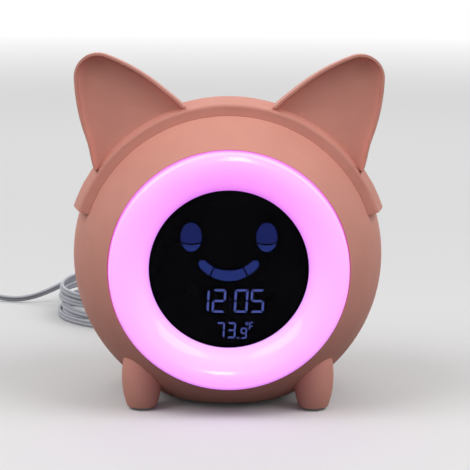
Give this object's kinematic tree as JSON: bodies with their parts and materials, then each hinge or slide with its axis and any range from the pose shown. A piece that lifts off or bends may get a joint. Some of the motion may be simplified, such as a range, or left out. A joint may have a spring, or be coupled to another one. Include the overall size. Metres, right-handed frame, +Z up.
{
  "type": "kids alarm clock",
  "caption": "Round alarm clock on short legs with an eared headband, a lit ring round its display, rear buttons and a coiled power lead.",
  "frame": {"origin": "centre of the clock's footprint box on the floor", "axes": "+Z up, the face looks along -Y, +X to the viewer's right"},
  "size_m": [0.233, 0.2354, 0.1349],
  "materials": {
    "body_pink": "satin",
    "band_pink": "satin",
    "rubber_grey": "matt",
    "ring_diffuser": "glossy, lit from behind",
    "window_black": "glossy",
    "white_plastic": "satin",
    "board_green": "solder mask",
    "lamp_white": "glossy",
    "display_glass": "glossy",
    "chip_black": "matt",
    "steel": "plated",
    "paper_black": "pressed paper",
    "battery_silver": "foil",
    "button_white": "satin",
    "lead_white": "soft vinyl"
  },
  "bodies": {
    "case": {"battery_pack": "battery_silver", "board_ribbon": "white_plastic", "button_board": "board_green", "button_board_screws": "steel", "button_cell": "steel", "case_screws": "steel", "cell_contact": "steel", "display_backlight": "white_plastic", "display_panel": "display_glass", "display_window": "window_black", "ear_headband": "band_pink", "foot_pads": "rubber_grey", "front_left_leg": "body_pink", "front_right_leg": "body_pink", "front_shell": "body_pink", "lead_coil": "lead_white", "lead_drop": "lead_white", "lead_run": "lead_white", "light_board": "board_green", "light_ring": "ring_diffuser", "main_board": "board_green", "main_board_parts": "chip_black", "main_board_screws": "steel", "power_plug": "lead_white", "power_plug_relief": "lead_white", "power_socket": "chip_black", "rear_left_leg": "body_pink", "rear_right_leg": "body_pink", "rear_shell": "body_pink", "ring_lamps": "lamp_white", "ring_reflector": "white_plastic", "room_sensor": "chip_black", "slide_switch": "steel", "speaker_cone": "paper_black", "speaker_frame": "steel", "speaker_magnet": "steel", "tact_switches": "chip_black", "usb_plug_grip": "lead_white", "usb_plug_relief": "lead_white", "usb_plug_shell": "steel", "usb_plug_tongue": "white_plastic"},
    "set_button_body": {"set_button": "button_white"},
    "mode_button_body": {"mode_button": "button_white"},
    "minus_button_body": {"minus_button": "button_white"},
    "plus_button_body": {"plus_button": "button_white"},
    "light_button_body": {"light_button": "button_white"},
    "snooze_button_body": {"snooze_button": "button_white"},
    "slide_knob_body": {"slide_knob": "button_white"},
    "cell_door_body": {"cell_door": "body_pink"}
  },
  "joints": [
    {"name": "set_button_press", "type": "slide", "parent": "case", "child": "set_button_body", "axis": [0, -1, 0], "range_m": [0, 0.0008], "stiffness_N_per_m": 600, "springref_m": -0.0004},
    {"name": "mode_button_press", "type": "slide", "parent": "case", "child": "mode_button_body", "axis": [0, -1, 0], "range_m": [0, 0.0008], "stiffness_N_per_m": 600, "springref_m": -0.0004},
    {"name": "minus_button_press", "type": "slide", "parent": "case", "child": "minus_button_body", "axis": [0, -1, 0], "range_m": [0, 0.0008], "stiffness_N_per_m": 600, "springref_m": -0.0004},
    {"name": "plus_button_press", "type": "slide", "parent": "case", "child": "plus_button_body", "axis": [0, -1, 0], "range_m": [0, 0.0008], "stiffness_N_per_m": 600, "springref_m": -0.0004},
    {"name": "light_button_press", "type": "slide", "parent": "case", "child": "light_button_body", "axis": [0, -1, 0], "range_m": [0, 0.0008], "stiffness_N_per_m": 600, "springref_m": -0.0004},
    {"name": "snooze_button_press", "type": "slide", "parent": "case", "child": "snooze_button_body", "axis": [0, -1, 0], "range_m": [0, 0.0008], "stiffness_N_per_m": 600, "springref_m": -0.0004},
    {"name": "slide_knob_slide", "type": "slide", "parent": "case", "child": "slide_knob_body", "axis": [0, 0, 1], "range_m": [0, 0.004]},
    {"name": "cell_door_twist", "type": "hinge", "parent": "case", "child": "cell_door_body", "pos_m": [0, -0.0149, 0.0024], "axis": [0, 0, 1], "range_deg": [0, 30]}
  ]
}
